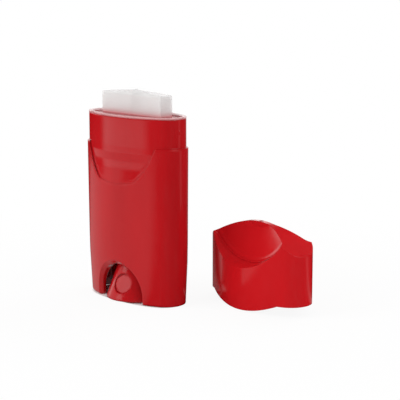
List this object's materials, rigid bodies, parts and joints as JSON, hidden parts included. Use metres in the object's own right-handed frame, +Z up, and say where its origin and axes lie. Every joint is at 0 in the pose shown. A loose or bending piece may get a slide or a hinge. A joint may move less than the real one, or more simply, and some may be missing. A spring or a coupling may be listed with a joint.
{
  "type": "twist-up deodorant stick container",
  "caption": "Empty oval twist-up deodorant stick container in glossy red plastic, with dial, elevator, seal cover and cap.",
  "frame": {"origin": "under the middle of the whole set, on the surface it stands on. The barrel's axis is at X -27.2 mm, Y -15.8 mm", "axes": "+X along the barrel's wide axis towards the standing cap, +Y from its front face to its back face, +Z up"},
  "size_m": [0.1184, 0.0636, 0.1045],
  "materials": {
    "red_plastic": "gloss moulded polypropylene",
    "dial_plastic": "gloss moulded polypropylene",
    "carrier_plastic": "natural moulded polypropylene",
    "clear_plastic": "translucent natural polypropylene",
    "cap_plastic": "gloss moulded polypropylene"
  },
  "bodies": {
    "barrel": {"barrel": "red_plastic"},
    "dial": {"dial": "dial_plastic"},
    "carrier": {"carrier": "carrier_plastic"},
    "seal_cover": {"seal_cover": "clear_plastic"},
    "cap": {"cap": "cap_plastic"}
  },
  "joints": [
    {"name": "dial_turn", "type": "hinge", "parent": "barrel", "child": "dial", "pos_m": [-0.0272, -0.0158, 0], "axis": [0, 0, -1], "range_deg": [0, 3960]},
    {"name": "carrier_lift", "type": "slide", "parent": "barrel", "child": "carrier", "axis": [0, 0, 1], "range_m": [0, 0.055]},
    {"name": "seal_cover_pull", "type": "slide", "parent": "barrel", "child": "seal_cover", "axis": [0, 0, 1], "range_m": [0, 0.04]},
    {"name": "cap_lift", "type": "slide", "parent": "barrel", "child": "cap", "axis": [0, 0, 1], "range_m": [0, 0.12]}
  ],
  "couplings": [
    {"joint": "carrier_lift", "follows": "dial_turn", "m_per_rad": 0.00079577}
  ]
}
